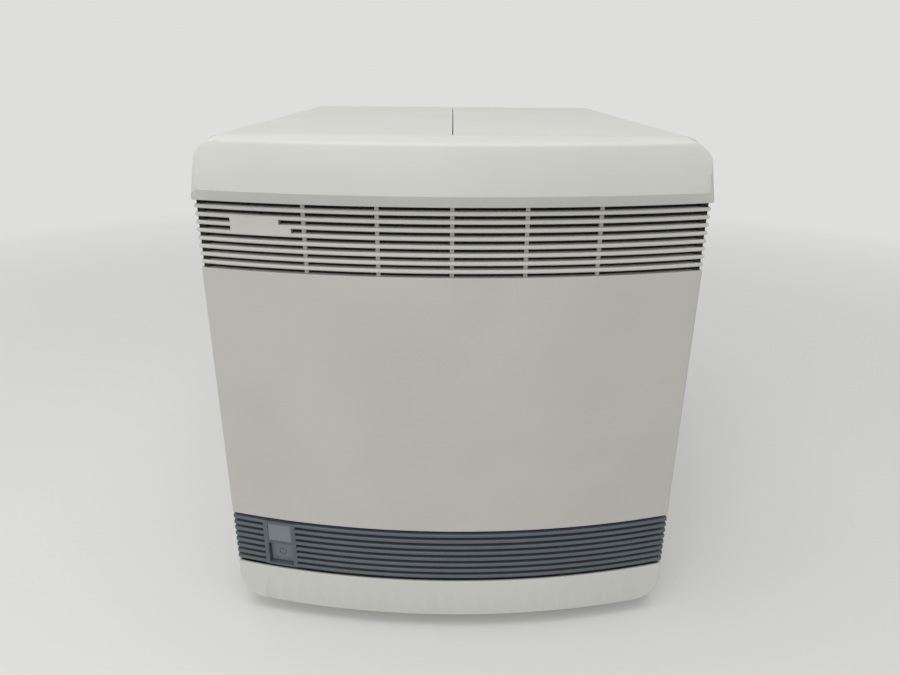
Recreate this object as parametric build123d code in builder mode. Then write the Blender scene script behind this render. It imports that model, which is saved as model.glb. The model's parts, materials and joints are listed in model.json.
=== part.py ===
"""Bench real-time PCR system: a tall housing with a bowed front, over its chassis and works.

The origin is the middle of the footprint on the table. +Z is up and the front faces -Y.
Lengths are in millimetres.
"""

import os
from math import asin, cos, degrees, radians, sin, sqrt

from build123d import *

os.makedirs("parts", exist_ok=True)

# Overall form
overall_depth = 840.0
front_width = 642.0
foot_height = 23.5
edge_radius = 30.0

# Front mouldings, from the table up
base_cap_height = 61.0
louvre_zone = 87.5
panel_height = 371.9
hood_height = 73.9
slat_pitch = 10.1
slat_count = 8
front_wall = 4.0
front_corner = 5.0
side_return = 56.0
cap_corner = 38.0

# Bow of the front, seen from above
bow_radius = 1193.0

# Hood
hood_overhang = 15.0
hood_side_step = 1.0
hood_bevel = 15.0
hood_lean = 12.0
hood_crown = 1.5
hood_arris = 7.0
hood_corner = 20.0

# Upper grille
grille_slot = 5.4
grille_depth = 12.0
grille_post = 30.0
rib_pitch = 90.5
rib_width = 5.0
rib_recess = 7.0
slat_chamfer = 1.4
filter_thickness = 4.0

# Bare pad that bridges two slots of the upper grille
pad_left = 274.0
pad_upper_length = 63.0
pad_lower_length = 78.0

# Lower louvre, with its switch bay
louvre_gap = 4.4
louvre_depth = 10.0
bay_centre = 250.0
bay_width = 50.0
bay_rim = 3.0
bay_depth = 18.0
window_width = 36.0
window_height = 30.0
window_thickness = 2.0
window_set = 1.0
well_width = 38.0
well_height = 36.0
button_recess = 7.0
button_clearance = 0.4
button_depth = 14.0
button_flange = 2.0
button_travel = 3.0
board_gap = 12.0
board_thickness = 1.6
board_post_diameter = 5.0
lamp_diameter = 5.0
lamp_pitch = 9.0
lamp_length = 9.0
spring_diameter = 18.0
spring_wire = 1.2
spring_turns = 3
switch_size = 12.0
plunger_gap = 0.8

# Sheet covers and chassis
cover_step = 3.0
cover_wall = 2.5
cover_seam = 1.2
seam_flange = 14.0
front_seam = 1.5
rear_rim = 8.0
sheet = 2.0
fit_gap = 0.3
pan_thickness = 3.0
pan_flange = 18.0
angle_leg = 25.0
angle_wall = 2.5
carrier_border = 30.0
foot_diameter = 46.0
foot_taper = 4.0
foot_inset_x = 62.0
foot_front_y = -290.0
foot_rear_y = 350.0

# Plate tray and its way out of the right-hand side
tray_y = -120.0
block_side_gap = 181.5
deck_level = 312.0
deck_thickness = 3.0
deck_laser_gap = 40.0
deck_side_gap = 9.5
deck_width = 268.0
rail_width = 8.0
rail_height = 12.0
rail_spacing = 104.0
rail_end_gap = 12.0
runner_width = 16.0
runner_length = 100.0
runner_roof = 4.0
tray_width = 120.0
tray_thickness = 3.0
tray_tail_gap = 50.0
tray_travel = 260.0
tray_front_thickness = 6.0
tray_front_width = 130.0
tray_front_height = 26.0
tray_front_clearance = 1.0
plate_length = 128.4
plate_width = 86.0
adapter_border = 9.0
adapter_height = 8.0
pocket_depth = 5.0
ledge = 4.0
motor_size = 42.0
motor_length = 40.0
pulley_radius = 5.5
pulley_width = 10.0
pulley_flange = 1.0
belt_thickness = 1.5
shaft_diameter = 5.0

# Thermal module
block_length = 116.0
block_width = 80.0
block_height = 13.0
well_columns = 12
well_rows = 8
well_pitch = 9.0
well_radius = 2.9
well_depth = 8.0
cooler_height = 4.0
sink_margin = 14.0
sink_base = 8.0
fin_height = 60.0
fin_thickness = 2.0
fin_count = 12

# Heated cover and its lift
lid_height = 24.0
lid_clearance = 2.0
lid_travel = 16.0
lid_border = 10.0
bridge_thickness = 8.0
bridge_length = 196.0
guide_diameter = 12.0
guide_spacing = 170.0
guide_offset = 32.0
guide_clearance = 0.05
rod_diameter = 6.0
bore_clearance = 0.5

# Optics
spectrograph_inset = 15.0
spectrograph_width = 140.0
spectrograph_length = 130.0
optics_level = 415.0
optics_thickness = 5.0
optics_reach = 290.0
optics_width = 400.0
scan_travel = 99.0
scan_plate_length = 60.0
scan_rail_offset = 90.0
barrel_diameter = 44.0
barrel_length = 70.0
spectrograph_height = 110.0

# Fans
fan_size = 120.0
fan_depth = 25.0
fan_wall = 4.0
block_fan_size = 92.0
hub_ratio = 0.38
blade_count = 7
blade_gap = 1.5
blade_thickness = 1.6
blade_angle = 35.0
laser_fan_z = 110.0
box_fan_x = 150.0
box_fan_z = 560.0
guard_wire = 2.5
guard_rings = 4

# Lower bay
laser_side_gap = 41.5
laser_width = 130.0
laser_length = 380.0
laser_height = 120.0
supply_width = 150.0
supply_length = 230.0
supply_height = 110.0
board_height = 240.0
board_length = 300.0
board_middle_y = 170.0
standoff_diameter = 6.0
standoff_inset = 8.0

# Rear fittings
inlet_x = 190.0
inlet_z = 90.0
inlet_width = 30.0
inlet_height = 40.0
inlet_depth = 26.0
inlet_flange = 3.0
rocker_offset = 44.0
rocker_width = 14.0
rocker_height = 30.0
rocker_throw = 12.0
rocker_depth = 12.0
rocker_rim = 2.0
rocker_gap = 0.5
rocker_pin = 3.0
port_x = 40.0
port_pitch = 40.0
port_width = 16.0
port_height = 14.0
port_depth = 16.0
rear_screw_diameter = 8.0
rear_screw_height = 2.5
vent_length = 60.0
vent_width = 4.0
vent_pitch = 12.0

# Access cover below the tray
access_width = 200.0
access_height = 196.0
access_bottom = 80.0
access_clearance = 1.2
access_lip = 14.0
lock_diameter = 16.0
lock_stem = 8.0
lock_inset = 18.0

# Places worked out from the sizes above
half_front = front_width / 2
half_hood = half_front + hood_side_step
half_cover = half_front + cover_step
front_y = -overall_depth / 2
rear_end_y = overall_depth / 2
axis_y = front_y + hood_overhang + bow_radius
corner_y = axis_y - sqrt(bow_radius**2 - half_front**2)
seam_y = corner_y + side_return
cover_front_y = seam_y + front_seam
rear_y = rear_end_y - rear_rim
rear_inner_y = rear_y - sheet
louvre_bottom = foot_height + base_cap_height
panel_bottom = louvre_bottom + louvre_zone
panel_top = panel_bottom + panel_height
grille_zone = slat_count * slat_pitch + grille_slot
hood_bottom = panel_top + grille_zone
top_z = hood_bottom + hood_height
inner_x = half_cover - cover_wall
inner_top = top_z - cover_wall
laser_fan_x = -(inner_x - laser_side_gap - laser_width / 2)
deck_left = laser_fan_x + laser_width / 2 + deck_laser_gap
deck_right = inner_x - deck_side_gap
tray_tail_x = deck_left + tray_tail_gap
block_x = inner_x - block_side_gap
optics_left = block_x - optics_reach
pan_top = foot_height + pan_thickness
carrier_back = seam_y + sheet
frame_half = inner_x - pan_thickness - 2 * fit_gap
frame_top = inner_top - fit_gap


def bow_y(x, setback=0.0):
    """Y of the bowed front at x, a setback behind the panel's face."""
    return axis_y - sqrt((bow_radius - setback) ** 2 - x**2)


def bow_block(bottom, height, half_width, setback, back_y, corner=0.0):
    """A solid with a bowed front, straight sides and a flat back."""
    side_y = bow_y(half_width, setback)
    with BuildPart() as block:
        with BuildSketch(Plane.XY.offset(bottom)) as plan:
            with BuildLine():
                ThreePointArc((-half_width, side_y), (0, bow_y(0, setback)), (half_width, side_y))
                Polyline(
                    (half_width, side_y), (half_width, back_y), (-half_width, back_y), (-half_width, side_y)
                )
            make_face()
            if corner:
                fillet(plan.vertices().sort_by(Axis.Y)[:2], corner)
        extrude(amount=height)
    return block.part


def bow_ring(bottom, height, depth, setback=0.0, back_y=seam_y):
    """A bowed wall of one depth, with its two side returns."""
    corner = 0.0 if setback else front_corner
    inner = setback + depth
    with BuildPart() as ring:
        add(bow_block(bottom, height, half_front - setback, setback, back_y, corner))
        add(bow_block(bottom - 1, height + 2, half_front - inner, inner, back_y + 1), mode=Mode.SUBTRACT)
    return ring.part


def box_at(x, y, z):
    """A box from three (low, high) pairs."""
    with BuildPart() as block:
        with Locations((sum(x) / 2, sum(y) / 2, sum(z) / 2)):
            Box(x[1] - x[0], y[1] - y[0], z[1] - z[0])
    return block.part


def span(middle, width):
    """The (low, high) pair of a width about its middle."""
    return (middle - width / 2, middle + width / 2)


def rod(start, direction, diameter, length):
    """A round bar from its start point, along a direction."""
    with BuildPart() as bar:
        with BuildSketch(Plane(origin=start, z_dir=direction)):
            Circle(diameter / 2)
        extrude(amount=length)
    return bar.part


def angle_bar(start, along, leg_one, leg_two, length):
    """An angle section: two legs from the start corner, run along a direction."""
    plane = Plane(origin=start, x_dir=leg_one, z_dir=along)
    side = angle_leg if plane.y_dir.dot(Vector(leg_two)) > 0 else -angle_leg
    wall = side * angle_wall / angle_leg
    with BuildPart() as bar:
        with BuildSketch(plane):
            with BuildLine():
                Polyline(
                    (0, 0),
                    (angle_leg, 0),
                    (angle_leg, wall),
                    (angle_wall, wall),
                    (angle_wall, side),
                    (0, side),
                    (0, 0),
                )
            make_face()
        extrude(amount=length)
    return bar.part


def nose_edge(edge):
    """True for an edge on the outside of a front moulding."""
    middle = edge @ 0.5
    return abs(middle.X) > half_front - front_corner or middle.Y < bow_y(middle.X) + front_corner / 2


def slat(height, depth):
    """One slat at z = 0 that runs round both corners, its nose chamfered."""
    with BuildPart() as bar:
        add(bow_ring(0, height, depth, back_y=seam_y - grille_post + 1))
        edges = bar.faces().sort_by(Axis.Z)[0].edges() + bar.faces().sort_by(Axis.Z)[-1].edges()
        nose = [edge for edge in edges if nose_edge(edge) and (edge @ 0.5).Y < seam_y - grille_post]
        chamfer(nose, slat_chamfer)
    return bar.part


def slat_frame(bottom, top, depth):
    """The end posts and the recessed ribs that carry a bank of slats."""
    with BuildPart() as frame:
        for side in (-1, 1):
            post_x = sorted((side * half_front, side * (half_front - depth)))
            add(box_at(post_x, (seam_y - grille_post, seam_y), (bottom, top)))
        for k in range(-2, 3):
            rib_front = bow_y(k * rib_pitch) + rib_recess
            rib_back = rib_front + depth - 1 - rib_recess
            add(box_at(span(k * rib_pitch, rib_width), (rib_front, rib_back), (bottom, top)))
    return frame.part


def export(part, name):
    """Writes one piece under its own name."""
    part.label = name
    export_step(part, f"parts/{name}.step")


def front_form(bottom, top, half_width, setback, back_y, plan_corner, curves):
    """A bowed block whose bottom or top corners are round when seen from the front."""
    bottom_curve, top_curve = curves
    height = top - bottom
    with BuildPart() as form:
        block_height = height + 1 if top_curve else height
        add(bow_block(bottom, block_height, half_width, setback, back_y, plan_corner))
        if top_curve:
            with BuildSketch(Plane.XZ.offset(-rear_end_y)) as outline:
                with Locations((0, top - height)):
                    Rectangle(2 * half_width, 2 * height)
                fillet(outline.vertices().group_by(Axis.Y)[-1], top_curve)
            extrude(amount=2 * overall_depth, mode=Mode.INTERSECT)
        if bottom_curve:
            start_x = half_width - bottom_curve
            middle = bottom_curve * (1 - cos(radians(45)))
            with BuildSketch(Plane.XZ.offset(-rear_end_y)):
                for side in (-1, 1):
                    with BuildLine():
                        Polyline(
                            (side * start_x, bottom),
                            (side * start_x, bottom - 2),
                            (side * (half_width + 2), bottom - 2),
                            (side * (half_width + 2), bottom + bottom_curve),
                            (side * half_width, bottom + bottom_curve),
                        )
                        ThreePointArc(
                            (side * half_width, bottom + bottom_curve),
                            (side * (half_width - middle), bottom + middle),
                            (side * start_x, bottom),
                        )
                    make_face()
            extrude(amount=2 * overall_depth, mode=Mode.SUBTRACT)
    return form.part


# Front hood: a crowned nose over a bevelled lower edge, turned about the bow's axis
def hood_form(inset, back_y):
    """The hood's filled form, or its hollow, drawn in by an inset."""
    nose = bow_radius + hood_overhang - inset
    low = hood_bottom + hood_bevel
    floor = hood_bottom + inset
    crest = top_z + 0.1
    back = bow_radius - 2 * side_return - hood_lean
    half_angle = asin(half_hood / back)
    start = Plane(
        origin=(0, axis_y, 0),
        x_dir=(-sin(half_angle), -cos(half_angle), 0),
        z_dir=(-cos(half_angle), sin(half_angle), 0),
    )
    with BuildPart() as form:
        add(
            front_form(
                hood_bottom, top_z - inset, half_hood - inset, -hood_overhang, back_y, hood_corner,
                (0, edge_radius - inset),
            )
        )
        with BuildSketch(start) as section:
            with BuildLine():
                Polyline((back, crest), (back, floor), (bow_radius - inset / 2, floor), (nose, low))
                middle = (nose - hood_lean / 2 + hood_crown, (low + crest) / 2)
                ThreePointArc((nose, low), middle, (nose - hood_lean, crest))
                Line((nose - hood_lean, crest), (back, crest))
            make_face()
            if inset == 0:
                fillet(section.vertices().group_by(Axis.Y)[-1].sort_by(Axis.X)[-1], hood_arris)
        revolve(
            axis=Axis((0, axis_y, 0), (0, 0, 1)),
            revolution_arc=2 * degrees(half_angle),
            mode=Mode.INTERSECT,
        )
    return form.part


hood_mouth = grille_depth + filter_thickness
with BuildPart() as front_hood:
    add(hood_form(0, seam_y))
    add(hood_form(front_wall, seam_y + 1), mode=Mode.SUBTRACT)
    mouth_back = seam_y - front_wall
    add(
        bow_block(hood_bottom - 1, front_wall + 2, half_front - hood_mouth, hood_mouth, mouth_back),
        mode=Mode.SUBTRACT,
    )
export(front_hood.part, "front_hood")

# Upper grille: eight slats between nine slots, with a bare pad across two of them
grille_slat = slat(slat_pitch - grille_slot, grille_depth)
pad_middle = hood_bottom - grille_slot / 2 - 2.5 * slat_pitch
pad_reach = (slat_pitch + grille_slot) / 2 + slat_chamfer


def grille_pad(low, high, length):
    """A bare length of wall that fills one slot from the pad's left end."""
    with BuildPart() as pad:
        add(bow_ring(low, high - low, grille_depth))
        add(box_at((-pad_left, -pad_left + length), (front_y, seam_y), (low, high)), mode=Mode.INTERSECT)
    return pad.part


with BuildPart() as upper_grille:
    with Locations([(0, 0, panel_top + grille_slot + k * slat_pitch) for k in range(slat_count)]):
        add(grille_slat)
    add(slat_frame(panel_top, hood_bottom, grille_depth))
    add(grille_pad(pad_middle, pad_middle + pad_reach, pad_upper_length))
    add(grille_pad(pad_middle - pad_reach, pad_middle, pad_lower_length))
export(upper_grille.part, "upper_grille")

# Front panel: one bowed sheet with returned top and bottom edges
with BuildPart() as front_panel:
    add(bow_ring(panel_bottom, panel_height, front_wall))
    add(bow_ring(panel_bottom, front_wall, grille_depth))
    add(bow_ring(panel_top - front_wall, front_wall, grille_depth))
export(front_panel.part, "front_panel")

# Lower louvre, with a switch bay square to the bow at the bay's middle
bay_angle = asin(bay_centre / bow_radius)
bay_out = Vector(-sin(bay_angle), -cos(bay_angle), 0)
bay_in = Vector(sin(bay_angle), cos(bay_angle), 0)
bay_face = Vector(0, axis_y, 0) + bay_out * bow_radius
slats_bottom = louvre_bottom + (louvre_zone - slat_count * slat_pitch + louvre_gap) / 2
bay_height = slat_count * slat_pitch - louvre_gap
well_z = slats_bottom + bay_rim + well_height / 2
window_z = well_z + (well_height + window_height) / 2 + bay_rim
board_depth = bay_depth + board_gap
post_x = bay_width / 2 - board_post_diameter / 2
post_z = bay_height / 2 - board_post_diameter / 2
bay_z = slats_bottom + bay_height / 2


def bay_plane(level, depth=0.0):
    """The bay's own plane, facing out, a depth behind its face."""
    origin = bay_face + bay_in * depth + Vector(0, 0, level)
    return Plane(origin=origin, x_dir=(cos(bay_angle), -sin(bay_angle), 0), z_dir=bay_out)


def bay_block(width, height, level, front, back):
    """A block in the bay, between two depths behind its face."""
    with BuildPart() as block:
        with BuildSketch(bay_plane(level, front)):
            Rectangle(width, height)
        extrude(amount=front - back)
    return block.part


def bay_body():
    """The bay before its openings: bowed in front, flat behind."""
    with BuildPart() as body:
        add(bow_block(slats_bottom, bay_height, half_front, 0, seam_y))
        add(bay_block(bay_width, bay_height, bay_z, -louvre_depth, bay_depth), mode=Mode.INTERSECT)
    return body.part


louvre_slat = slat(slat_pitch - louvre_gap, louvre_depth)
with BuildPart() as lower_louvre:
    with Locations([(0, 0, slats_bottom + k * slat_pitch) for k in range(slat_count)]):
        add(louvre_slat)
    add(slat_frame(louvre_bottom, panel_bottom, louvre_depth))
    add(bay_body())
    add(bay_block(well_width, well_height, well_z, -louvre_depth, 2 * bay_depth), mode=Mode.SUBTRACT)
    add(
        bay_block(window_width, window_height, window_z, -louvre_depth, window_set + window_thickness),
        mode=Mode.SUBTRACT,
    )
    add(
        bay_block(window_width - bay_rim, window_height - bay_rim, window_z, 0, 2 * bay_depth),
        mode=Mode.SUBTRACT,
    )
    with BuildSketch(bay_plane(bay_z, bay_depth)):
        with GridLocations(2 * post_x, 2 * post_z, 2, 2):
            Circle(board_post_diameter / 2)
    extrude(amount=-board_gap)
export(lower_louvre.part, "lower_louvre")

with BuildPart() as air_filters:
    add(bow_ring(louvre_bottom, louvre_zone, filter_thickness, louvre_depth))
    add(bay_block(bay_width + 2 * fit_gap, 2 * louvre_zone, bay_z, 0, 2 * bay_depth), mode=Mode.SUBTRACT)
    add(bow_ring(panel_top, grille_zone, filter_thickness, grille_depth))
export(air_filters.part, "air_filters")

indicator_window = bay_block(
    window_width - fit_gap, window_height - fit_gap, window_z, window_set, window_set + window_thickness
)
export(indicator_window, "indicator_window")

# Power button: it slides in its well, and a flange behind keeps it in
button_back = max(button_recess + button_depth, bay_depth + fit_gap + button_flange)
with BuildPart() as power_button:
    with BuildSketch(bay_plane(well_z, button_recess)):
        RectangleRounded(well_width - 2 * button_clearance, well_height - 2 * button_clearance, 1.5)
    extrude(amount=button_recess - button_back)
    fillet(power_button.faces().sort_by(Axis(bay_face, bay_out))[-1].edges(), 1)
    with BuildSketch(bay_plane(well_z, bay_depth + fit_gap)):
        Rectangle(bay_width - 2 * board_post_diameter - 2 * fit_gap, well_height + button_flange)
    extrude(amount=-button_flange)
export(power_button.part, "power_button")

# Switch board behind the bay, with its switch, the button's spring and three lamps
switch_room = board_depth - button_back - button_travel
with BuildPart() as switch_board:
    add(bay_block(bay_width, bay_height, bay_z, board_depth, board_depth + board_thickness))
    with BuildSketch(bay_plane(well_z, board_depth)):
        RectangleRounded(switch_size, switch_size, 1)
    extrude(amount=switch_room - 2 * plunger_gap)
    with BuildSketch(bay_plane(well_z, board_depth)):
        Circle(switch_size / 4)
    extrude(amount=switch_room - plunger_gap)
export(switch_board.part, "switch_board")

with BuildPart() as button_spring:
    spring_seat = bay_plane(well_z, board_depth - fit_gap - spring_wire / 2).origin
    spring_rise = board_depth - button_back - 2 * fit_gap - spring_wire
    with BuildLine():
        coil = Helix(spring_rise / spring_turns, spring_rise, spring_diameter / 2, spring_seat, bay_out)
    with BuildSketch(Plane(origin=coil @ 0, z_dir=coil % 0)):
        Rectangle(spring_wire, spring_wire)
    sweep(path=coil, is_frenet=True)
export(button_spring.part, "button_spring")

with BuildPart() as status_lamps:
    with BuildSketch(bay_plane(window_z, board_depth)):
        with GridLocations(lamp_pitch, 1, 3, 1):
            Circle(lamp_diameter / 2)
    extrude(amount=lamp_length)
    chamfer(status_lamps.edges().filter_by(GeomType.CIRCLE).group_by(Axis(bay_face, bay_out))[-1], 1.2)
export(status_lamps.part, "status_lamps")


# Front base cap: its lower corners are round, and its floor turns back under
with BuildPart() as front_base_cap:
    add(front_form(foot_height, louvre_bottom, half_front, 0, seam_y, front_corner, (cap_corner, 0)))
    add(
        front_form(
            foot_height + front_wall,
            louvre_bottom + 1,
            half_front - front_wall,
            front_wall,
            seam_y + 1,
            front_corner - front_wall,
            (cap_corner - front_wall, 0),
        ),
        mode=Mode.SUBTRACT,
    )
export(front_base_cap.part, "front_base_cap")


# Sheet covers: each is a side, a rounded top edge and half of the top
def cover_form(side):
    """One cover, with its turned-down flange at the middle seam."""
    top_x = cover_seam / 2
    with BuildPart() as form:
        with BuildSketch(Plane.XZ.offset(-rear_end_y)):
            for reach, mode in ((0.0, Mode.ADD), (cover_wall, Mode.SUBTRACT)):
                right = half_cover - reach
                high = top_z - reach
                curve = edge_radius - reach
                left = top_x if reach == 0 else -1.0
                low = foot_height if reach == 0 else foot_height - 1
                with BuildLine():
                    Polyline((left, high), (left, low), (right, low), (right, high - curve))
                    turn = curve * cos(radians(45))
                    middle = (right - curve + turn, high - curve + turn)
                    ThreePointArc((right, high - curve), middle, (right - curve, high))
                    Line((right - curve, high), (left, high))
                make_face(mode=mode)
        extrude(amount=rear_end_y - cover_front_y)
        flange_y = (cover_front_y + angle_leg * 2, rear_inner_y - angle_leg * 2)
        add(box_at((top_x, top_x + cover_wall), flange_y, (top_z - seam_flange, top_z - cover_wall / 2)))
        if side < 0:
            mirror(about=Plane.YZ, mode=Mode.REPLACE)
    return form.part


with BuildPart() as left_cover:
    add(cover_form(-1))
    with BuildSketch(Plane.YZ.offset(-half_cover)):
        with Locations((rear_y - 130, laser_fan_z + 40)):
            with GridLocations(vent_pitch, 1, 12, 1):
                Rectangle(vent_width, 2 * vent_length)
    extrude(amount=2 * cover_wall, mode=Mode.SUBTRACT)
export(left_cover.part, "left_cover")

# Tray heights, from the deck up
deck_top = deck_level + deck_thickness
rail_top = deck_top + rail_height
tray_bottom = rail_top + fit_gap + runner_roof
tray_top = tray_bottom + tray_thickness
adapter_top = tray_top + adapter_height
door_bottom = tray_bottom - (tray_front_height - tray_thickness - adapter_height) / 3
door_z = door_bottom + tray_front_height / 2
access_z = access_bottom + access_height / 2
lock_z = access_z + access_height / 2 - lock_inset
lock_centres = [(y, lock_z) for y in span(tray_y, access_width - 2 * lock_inset)]

with BuildPart() as right_cover:
    add(cover_form(1))
    with BuildSketch(Plane.YZ.offset(half_cover)):
        with Locations((tray_y, door_z)):
            slot_width = tray_front_width + 2 * tray_front_clearance
            Rectangle(slot_width, tray_front_height + 2 * tray_front_clearance)
        with Locations((tray_y, access_z)):
            Rectangle(access_width + 2 * access_clearance, access_height + 2 * access_clearance)
    extrude(amount=-2 * cover_wall, mode=Mode.SUBTRACT)
    # Landing frame behind the access opening
    with BuildSketch(Plane.YZ.offset(inner_x)):
        with Locations((tray_y, access_z)):
            Rectangle(access_width + 2 * access_lip, access_height + 2 * access_lip)
            Rectangle(access_width - 4 * lock_inset, access_height - 4 * lock_inset, mode=Mode.SUBTRACT)
        with Locations(lock_centres):
            Circle(lock_stem / 2 + fit_gap, mode=Mode.SUBTRACT)
    extrude(amount=-sheet)
export(right_cover.part, "right_cover")

# Access cover, flush in the right side: tabs below, two quarter-turn locks above
with BuildPart() as access_cover:
    with BuildSketch(Plane.YZ.offset(inner_x)):
        with Locations((tray_y, access_z)):
            Rectangle(access_width, access_height)
        with Locations(lock_centres):
            Circle(lock_stem / 2 + fit_gap, mode=Mode.SUBTRACT)
    extrude(amount=cover_wall)
    with BuildSketch(Plane.YZ.offset(half_cover)):
        with Locations(lock_centres):
            Circle(lock_diameter / 2 + fit_gap)
    extrude(amount=-cover_wall / 2, mode=Mode.SUBTRACT)
export(access_cover.part, "access_cover")


def lock_pin(y, z):
    """A slotted quarter-turn head on a stem, with a cross wing behind the frame."""
    head = cover_wall / 2 - fit_gap
    reach = cover_wall + sheet + fit_gap
    with BuildPart() as pin:
        add(rod((half_cover, y, z), (-1, 0, 0), lock_diameter, head))
        slot_x = (half_cover - head / 2, half_cover + 1)
        add(box_at(slot_x, span(y, 1.5), span(z, lock_diameter)), mode=Mode.SUBTRACT)
        add(rod((half_cover - head / 2, y, z), (-1, 0, 0), lock_stem, reach + 2))
        add(box_at(span(half_cover - reach - 1, 2), span(y, lock_stem / 2), span(z, 2 * lock_stem)))
    return pin.part


export(lock_pin(*lock_centres[0]), "front_lock_pin")
export(lock_pin(*lock_centres[1]), "rear_lock_pin")

# Base pan: a folded tray of sheet that carries everything
with BuildPart() as base_pan:
    pan_width = 2 * (inner_x - fit_gap)
    pan_y = (carrier_back, rear_inner_y)
    hollow_y = (carrier_back - 1, rear_inner_y + 1)
    add(box_at(span(0, pan_width), pan_y, (foot_height, pan_top + pan_flange)))
    add(box_at(span(0, pan_width - 2 * pan_thickness), hollow_y, (pan_top, top_z)), mode=Mode.SUBTRACT)
    with BuildSketch(Plane.XY.offset(foot_height)):
        with Locations((0, -130)):
            with GridLocations(1, vent_pitch, 1, 10):
                Rectangle(2 * vent_length, vent_width)
    extrude(amount=pan_thickness, mode=Mode.SUBTRACT)
export(base_pan.part, "base_pan")

with BuildPart() as feet:
    for x in (-half_cover + foot_inset_x, half_cover - foot_inset_x):
        for y in (foot_front_y, foot_rear_y):
            with BuildSketch(Plane.XY.offset(foot_height).shift_origin((x, y, foot_height))):
                Circle(foot_diameter / 2)
            extrude(amount=-foot_height, taper=foot_taper)
export(feet.part, "feet")

# Chassis: corner posts, side rails and cross rails of angle section
post_top = frame_top - edge_radius / 2
spine_half = inner_x - edge_radius
rail_length = rear_inner_y - carrier_back
deck_y = span(tray_y, deck_width)
standoff_y = span(board_middle_y, board_length - 2 * standoff_inset)
standoff_z = (deck_level - angle_leg / 3, optics_level - angle_leg / 3)
standoff_x = -frame_half + angle_wall
board_x = -frame_half + angle_leg + fit_gap
carrier_top = top_z - front_wall - fit_gap
with BuildPart() as chassis:
    # Sheet in front that the front mouldings bolt to, open for the air
    with BuildSketch(Plane.XZ.offset(-carrier_back)) as carrier:
        with Locations((0, (pan_top + carrier_top) / 2)):
            Rectangle(2 * frame_half, carrier_top - pan_top)
        fillet(carrier.vertices().group_by(Axis.Y)[-1], edge_radius)
        for low, high in ((pan_top, panel_bottom), (panel_bottom, panel_top), (panel_top, carrier_top)):
            with Locations((0, (low + high) / 2)):
                window_span = 2 * (frame_half - carrier_border)
                Rectangle(window_span, high - low - carrier_border, mode=Mode.SUBTRACT)
    extrude(amount=sheet)
    for side in (-1, 1):
        edge_x = side * frame_half
        inward = (-side, 0, 0)
        for y, leg in ((carrier_back, (0, 1, 0)), (rear_inner_y, (0, -1, 0))):
            add(angle_bar((edge_x, y, pan_top), (0, 0, 1), inward, leg, post_top - pan_top))
        for z in (pan_top, deck_level - angle_leg, optics_level - angle_leg, post_top - 2 * angle_leg):
            add(angle_bar((edge_x, carrier_back, z), (0, 1, 0), (0, 0, 1), inward, rail_length))
    for y, leg in ((carrier_back, (0, 1, 0)), (rear_inner_y, (0, -1, 0))):
        add(angle_bar((-spine_half, y, frame_top), (1, 0, 0), (0, 0, -1), leg, 2 * spine_half))
    for z in (deck_level, optics_level):
        for y, leg in ((deck_y[0], (0, 1, 0)), (deck_y[1], (0, -1, 0))):
            add(angle_bar((-frame_half, y, z), (1, 0, 0), (0, 0, -1), leg, 2 * frame_half))
    # Stand-offs for the control board along the left side rails
    for y in standoff_y:
        for z in standoff_z:
            add(rod((standoff_x, y, z), (1, 0, 0), standoff_diameter, board_x - standoff_x))
export(chassis.part, "chassis")

# Tray deck: it carries the rails, the thermal module, the guides and the tray's motor
rail_y = (tray_y - rail_spacing / 2, tray_y + rail_spacing / 2)
runner_edge = rail_spacing / 2 + runner_width / 2
belt_y = tray_y - runner_edge - pulley_radius - belt_thickness - 2
motor_x = tray_tail_x - motor_size / 2
idler_x = tray_tail_x + tray_travel + runner_length / 2
guide_x = block_x - guide_offset
rod_x = block_x + guide_offset
pulley_seat = deck_top + fit_gap
sink_length = block_length + 2 * sink_margin
sink_width = block_width + 2 * sink_margin
block_top = deck_level + cooler_height + block_height
deck_x = (deck_left, deck_right)
with BuildPart() as tray_deck:
    add(box_at(deck_x, deck_y, (deck_level, deck_top)))
    with BuildSketch(Plane.XY.offset(deck_level)):
        with Locations((block_x, tray_y)):
            Rectangle(block_length + 2, block_width + 2)
        with Locations((rod_x, tray_y)):
            with GridLocations(1, guide_spacing, 1, 2):
                Circle(rod_diameter / 2 + bore_clearance)
        with Locations((motor_x, belt_y)):
            Circle(shaft_diameter / 2 + bore_clearance)
    extrude(amount=deck_thickness, mode=Mode.SUBTRACT)
    # Pin that the idler pulley turns on
    add(rod((idler_x, belt_y, deck_level), (0, 0, 1), shaft_diameter, deck_thickness + pulley_width + 1))
export(tray_deck.part, "tray_deck")

# Tray rails and the tray, which rides on a runner along each rail
rail_x = (tray_tail_x - rail_end_gap, tray_tail_x + runner_length + tray_travel + rail_end_gap)
with BuildPart() as tray_rails:
    for y in rail_y:
        add(box_at(rail_x, span(y, rail_width), (deck_top, rail_top)))
export(tray_rails.part, "tray_rails")

with BuildPart() as tray_runners:
    runner_x = (tray_tail_x, tray_tail_x + runner_length)
    groove_x = (tray_tail_x - 1, tray_tail_x + runner_length + 1)
    for y in rail_y:
        groove_y = span(y, rail_width + 2 * fit_gap)
        add(box_at(runner_x, span(y, runner_width), (deck_top + 1, tray_bottom)))
        add(box_at(groove_x, groove_y, (deck_top, rail_top + fit_gap)), mode=Mode.SUBTRACT)
export(tray_runners.part, "tray_runners")

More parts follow.
